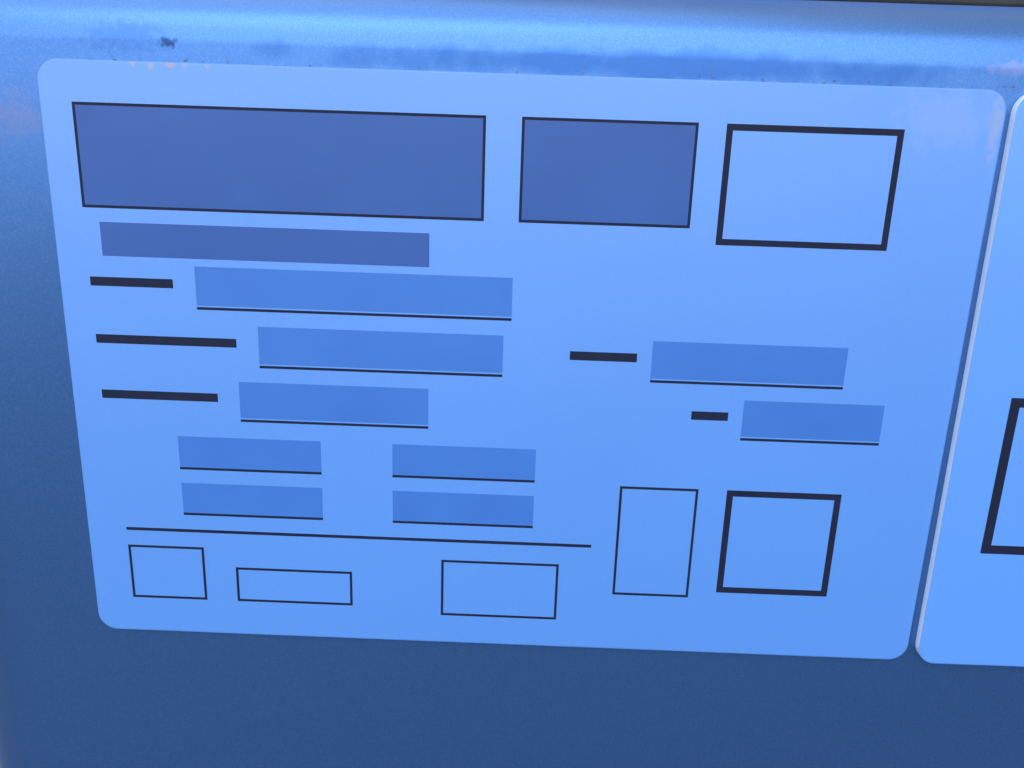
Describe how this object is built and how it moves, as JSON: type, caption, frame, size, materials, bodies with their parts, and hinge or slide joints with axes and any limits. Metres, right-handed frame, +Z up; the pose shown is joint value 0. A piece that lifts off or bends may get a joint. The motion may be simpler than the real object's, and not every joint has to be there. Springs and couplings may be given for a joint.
{
  "type": "waste compactor",
  "caption": "Upright hydraulic waste compactor that presses recycling into bales, with a loading hatch, a bale door, a press cylinder and a power unit.",
  "frame": {"origin": "middle of the footprint on the floor", "axes": "+Z up, the doors face -Y, the side panel with the two plates faces +X"},
  "size_m": [0.8012, 0.75, 2.086],
  "materials": {
    "body_paint": "semi-gloss blue-grey powder coat with a fine orange peel",
    "frame_paint": "satin dark grey paint",
    "liner_steel": "bare steel sheet, lightly scratched",
    "zinc_steel": "bright zinc plating",
    "rod_chrome": "hard chrome, ground and polished",
    "bezel_chrome": "bright nickel rings",
    "valve_alloy": "machined and anodised",
    "motor_paint": "semi-gloss grey enamel",
    "tank_paint": "satin black paint",
    "black_plastic": "fine-grained black plastic",
    "switch_red": "moulded red plastic",
    "button_green": "moulded green plastic",
    "lamp_lens": "translucent moulded lens",
    "panel_grey": "light grey powder coat",
    "plate_film": "satin adhesive film, cool white",
    "strap_green": "wound plastic strapping between card flanges"
  },
  "bodies": {
    "frame": {"base_frame": "frame_paint", "button_bezels": "bezel_chrome", "cable_gland": "black_plastic", "capacitor_box": "black_plastic", "chamber_floor": "liner_steel", "control_box": "panel_grey", "cylinder_barrel": "frame_paint", "cylinder_bolts": "zinc_steel", "cylinder_cap": "frame_paint", "cylinder_gland": "zinc_steel", "fan_cover": "black_plastic", "filler_cap": "black_plastic", "floor_bars": "liner_steel", "front_header": "body_paint", "hinge_knuckles": "frame_paint", "hinge_pins": "zinc_steel", "hydraulic_pipes": "zinc_steel", "latch_keeper": "liner_steel", "left_side_panel": "body_paint", "middle_rail": "body_paint", "motor_cable": "black_plastic", "motor_end_shield": "motor_paint", "motor_frame": "motor_paint", "oil_tank": "tank_paint", "pipe_fittings": "zinc_steel", "press_beam": "frame_paint", "pressure_gauge": "black_plastic", "rear_liner": "liner_steel", "rear_panel": "body_paint", "reel_rack": "frame_paint", "right_side_panel": "body_paint", "second_plate": "plate_film", "side_liners": "liner_steel", "signal_lamp": "lamp_lens", "solenoid_valve": "black_plastic", "switches_and_catch": "switch_red", "top_plate": "body_paint", "type_plate": "plate_film", "unit_brackets": "zinc_steel", "valve_block": "valve_alloy"},
    "bale_door": {"bale_door": "body_paint", "bale_door_skin": "liner_steel", "bale_door_fittings": "zinc_steel", "latch_boss": "zinc_steel"},
    "door_latch": {"latch_lever": "black_plastic", "latch_shaft": "zinc_steel"},
    "loading_hatch": {"loading_hatch": "body_paint", "hatch_skin": "liner_steel", "hatch_fittings": "zinc_steel", "hatch_handle": "black_plastic"},
    "press_ram": {"platen": "frame_paint", "pressing_bars": "frame_paint", "piston_rod": "rod_chrome", "clevis_pin": "zinc_steel"},
    "main_switch": {"main_switch": "switch_red"},
    "stop_button": {"stop_button": "switch_red"},
    "start_button": {"start_button": "button_green"},
    "reel_1": {"strap_reel_1": "strap_green"},
    "reel_2": {"strap_reel_2": "strap_green"},
    "reel_3": {"strap_reel_3": "strap_green"}
  },
  "joints": [
    {"name": "bale_door_hinge", "type": "hinge", "parent": "frame", "child": "bale_door", "pos_m": [-0.3866, -0.307, 0.4075], "axis": [0, 0, -1], "range_deg": [0, 110]},
    {"name": "latch_turn", "type": "hinge", "parent": "bale_door", "child": "door_latch", "pos_m": [0.3134, -0.325, 0.4], "axis": [0, -1, 0], "range_deg": [0, 90]},
    {"name": "hatch_hinge", "type": "hinge", "parent": "frame", "child": "loading_hatch", "pos_m": [-0.3866, -0.307, 0.899], "axis": [0, 0, -1], "range_deg": [0, 110]},
    {"name": "ram_slide", "type": "slide", "parent": "frame", "child": "press_ram", "axis": [0, 0, -1], "range_m": [0, 0.6]},
    {"name": "main_switch_turn", "type": "hinge", "parent": "frame", "child": "main_switch", "pos_m": [0.0994, -0.327, 1.209], "axis": [0, -1, 0], "range_deg": [-90, 0]},
    {"name": "stop_press", "type": "slide", "parent": "frame", "child": "stop_button", "axis": [0, 1, 0], "range_m": [0, 0.004], "stiffness_N_per_m": 1500},
    {"name": "start_press", "type": "slide", "parent": "frame", "child": "start_button", "axis": [0, 1, 0], "range_m": [0, 0.004], "stiffness_N_per_m": 900},
    {"name": "reel_1_spin", "type": "hinge", "parent": "frame", "child": "reel_1", "pos_m": [-0.20327, 0.2975, 0.204], "axis": [1, 0, 0], "continuous": true},
    {"name": "reel_2_spin", "type": "hinge", "parent": "frame", "child": "reel_2", "pos_m": [-0.0006, 0.2975, 0.204], "axis": [1, 0, 0], "continuous": true},
    {"name": "reel_3_spin", "type": "hinge", "parent": "frame", "child": "reel_3", "pos_m": [0.20207, 0.2975, 0.204], "axis": [1, 0, 0], "continuous": true}
  ]
}
